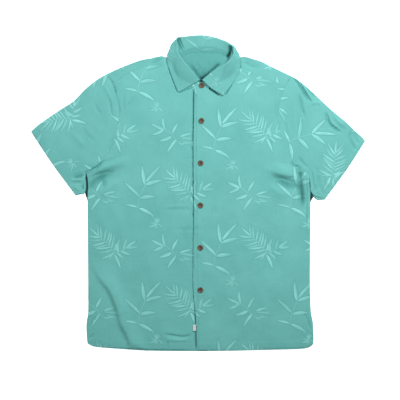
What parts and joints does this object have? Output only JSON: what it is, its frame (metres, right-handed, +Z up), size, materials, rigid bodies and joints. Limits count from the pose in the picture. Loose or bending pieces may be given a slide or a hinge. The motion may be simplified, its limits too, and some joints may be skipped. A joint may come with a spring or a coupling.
{
  "type": "camp collar shirt",
  "caption": "Short-sleeved camp collar shirt in teal cloth with a tone-on-tone leaf weave, buttoned and laid flat on its back.",
  "frame": {"origin": "on the surface that the shirt lies on, under the middle of its box", "axes": "+X towards the wearer's left sleeve, +Y towards the neck, +Z up, away from the surface"},
  "size_m": [0.835, 0.7896, 0.0178],
  "materials": {
    "cloth": "soft satin sheen",
    "collar_cloth": "soft satin sheen",
    "wood": "satin",
    "white_tape": "matte"
  },
  "bodies": {
    "root": {"back": "cloth", "yoke": "cloth", "front_right": "cloth", "front_left": "cloth", "sleeve_right": "cloth", "sleeve_left": "cloth", "collar": "collar_cloth", "button_1": "wood", "button_2": "wood", "button_3": "wood", "button_4": "wood", "button_5": "wood", "button_6": "wood", "tab": "white_tape"}
  },
  "joints": []
}
